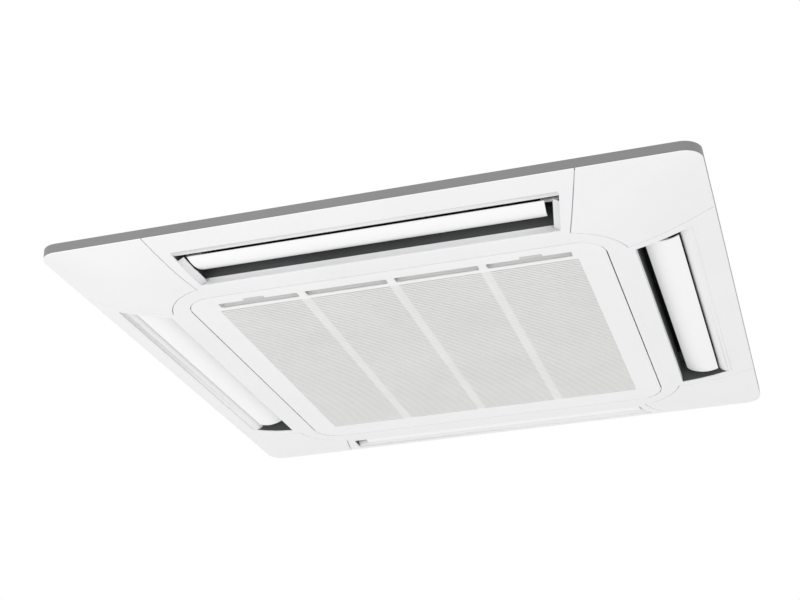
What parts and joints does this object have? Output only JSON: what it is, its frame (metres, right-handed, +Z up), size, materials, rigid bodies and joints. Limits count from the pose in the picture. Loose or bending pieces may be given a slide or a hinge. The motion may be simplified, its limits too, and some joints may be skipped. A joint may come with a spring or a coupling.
{
  "type": "ceiling cassette air conditioner",
  "caption": "Square panel around a hinged intake grille with swinging outlet flaps, under an octagonal cabinet with fan, coil and drain pump.",
  "frame": {"origin": "centre of the panel, on the plane of the ceiling's underside, which is the top of the panel's rim", "axes": "+Z up into the ceiling void; -Y towards the edge with the two grille latches; the refrigerant pipes leave along +X"},
  "size_m": [0.95, 0.95, 0.301],
  "materials": {
    "panel_white": "satin",
    "rim_grey": "satin",
    "flap_white": "satin",
    "grille_white": "satin",
    "latch_grey": "satin",
    "filter_grey": "matte",
    "duct_black": "matte",
    "motor_can": "satin",
    "galvanised_steel": "satin",
    "liner_foam": "matte",
    "pan_foam": "matte",
    "fin_aluminium": "satin",
    "coil_copper": "satin",
    "nut_brass": "satin",
    "fan_plastic": "satin",
    "steel": "satin",
    "terminal_cream": "satin",
    "board_green": "satin",
    "pump_white": "satin",
    "impeller_blue": "satin",
    "switch_black": "satin",
    "hose_grey": "satin"
  },
  "bodies": {
    "unit": {"panel_frame": "panel_white", "rim_band": "rim_grey", "corner_cover_far_right": "panel_white", "corner_cover_far_left": "panel_white", "corner_cover_near_left": "panel_white", "corner_cover_near_right": "panel_white", "outlet_duct_far": "duct_black", "flap_motor_far": "motor_can", "outlet_duct_left": "duct_black", "flap_motor_left": "motor_can", "outlet_duct_near": "duct_black", "flap_motor_near": "motor_can", "outlet_duct_right": "duct_black", "flap_motor_right": "motor_can", "cabinet_top": "galvanised_steel", "cabinet_wall": "galvanised_steel", "insulation_liner": "liner_foam", "drain_pan": "pan_foam", "coil_fins": "fin_aluminium", "coil_end_right": "coil_copper", "coil_end_far": "coil_copper", "gas_header": "coil_copper", "gas_pipe": "coil_copper", "liquid_pipe": "coil_copper", "gas_flare_nut": "nut_brass", "liquid_flare_nut": "nut_brass", "bell_mouth": "duct_black", "fan_motor": "motor_can", "fan_motor_bracket": "galvanised_steel", "control_box": "galvanised_steel", "control_box_cover": "galvanised_steel", "terminal_block": "terminal_cream", "circuit_board": "board_green", "drain_pump": "pump_white", "float_switch": "switch_black", "drain_tube": "hose_grey", "drain_socket": "hose_grey", "hanger_bracket_far_right": "galvanised_steel", "panel_bolt_far_right": "steel", "hanger_bracket_far_left": "galvanised_steel", "panel_bolt_far_left": "steel", "hanger_bracket_near_left": "galvanised_steel", "panel_bolt_near_left": "steel", "hanger_bracket_near_right": "galvanised_steel", "panel_bolt_near_right": "steel"},
    "grille": {"intake_grille": "grille_white", "air_filter": "filter_grey"},
    "latch_left": {"grille_latch_left": "latch_grey"},
    "latch_right": {"grille_latch_right": "latch_grey"},
    "fan": {"turbo_fan": "fan_plastic", "motor_shaft": "steel", "fan_nut": "steel"},
    "impeller": {"pump_impeller": "impeller_blue"},
    "float": {"float": "pump_white"},
    "flap_far": {"flap_far": "flap_white"},
    "flap_left": {"flap_left": "flap_white"},
    "flap_near": {"flap_near": "flap_white"},
    "flap_right": {"flap_right": "flap_white"}
  },
  "joints": [
    {"name": "flap_far_swing", "type": "hinge", "parent": "unit", "child": "flap_far", "pos_m": [0, 0.396, -0.012], "axis": [-1, 0, 0], "range_deg": [-10, 45]},
    {"name": "flap_left_swing", "type": "hinge", "parent": "unit", "child": "flap_left", "pos_m": [-0.396, 0, -0.012], "axis": [0, -1, 0], "range_deg": [-10, 45]},
    {"name": "flap_near_swing", "type": "hinge", "parent": "unit", "child": "flap_near", "pos_m": [0, -0.396, -0.012], "axis": [1, 0, 0], "range_deg": [-10, 45]},
    {"name": "flap_right_swing", "type": "hinge", "parent": "unit", "child": "flap_right", "pos_m": [0.396, 0, -0.012], "axis": [0, 1, 0], "range_deg": [-10, 45]},
    {"name": "grille_hinge", "type": "hinge", "parent": "unit", "child": "grille", "pos_m": [0, 0.274, -0.036], "axis": [1, 0, 0], "range_deg": [0, 90]},
    {"name": "latch_left_slide", "type": "slide", "parent": "grille", "child": "latch_left", "axis": [0, 1, 0], "range_m": [0, 0.008], "stiffness_N_per_m": 150, "springref_m": -0.004},
    {"name": "latch_right_slide", "type": "slide", "parent": "grille", "child": "latch_right", "axis": [0, 1, 0], "range_m": [0, 0.008], "stiffness_N_per_m": 150, "springref_m": -0.004},
    {"name": "fan_spin", "type": "hinge", "parent": "unit", "child": "fan", "pos_m": [0, 0, 0.15], "axis": [0, 0, 1], "continuous": true},
    {"name": "impeller_spin", "type": "hinge", "parent": "unit", "child": "impeller", "pos_m": [0.275, 0.325, 0.05], "axis": [0, 0, 1], "continuous": true},
    {"name": "float_rise", "type": "slide", "parent": "unit", "child": "float", "axis": [0, 0, 1], "range_m": [0, 0.012]}
  ]
}
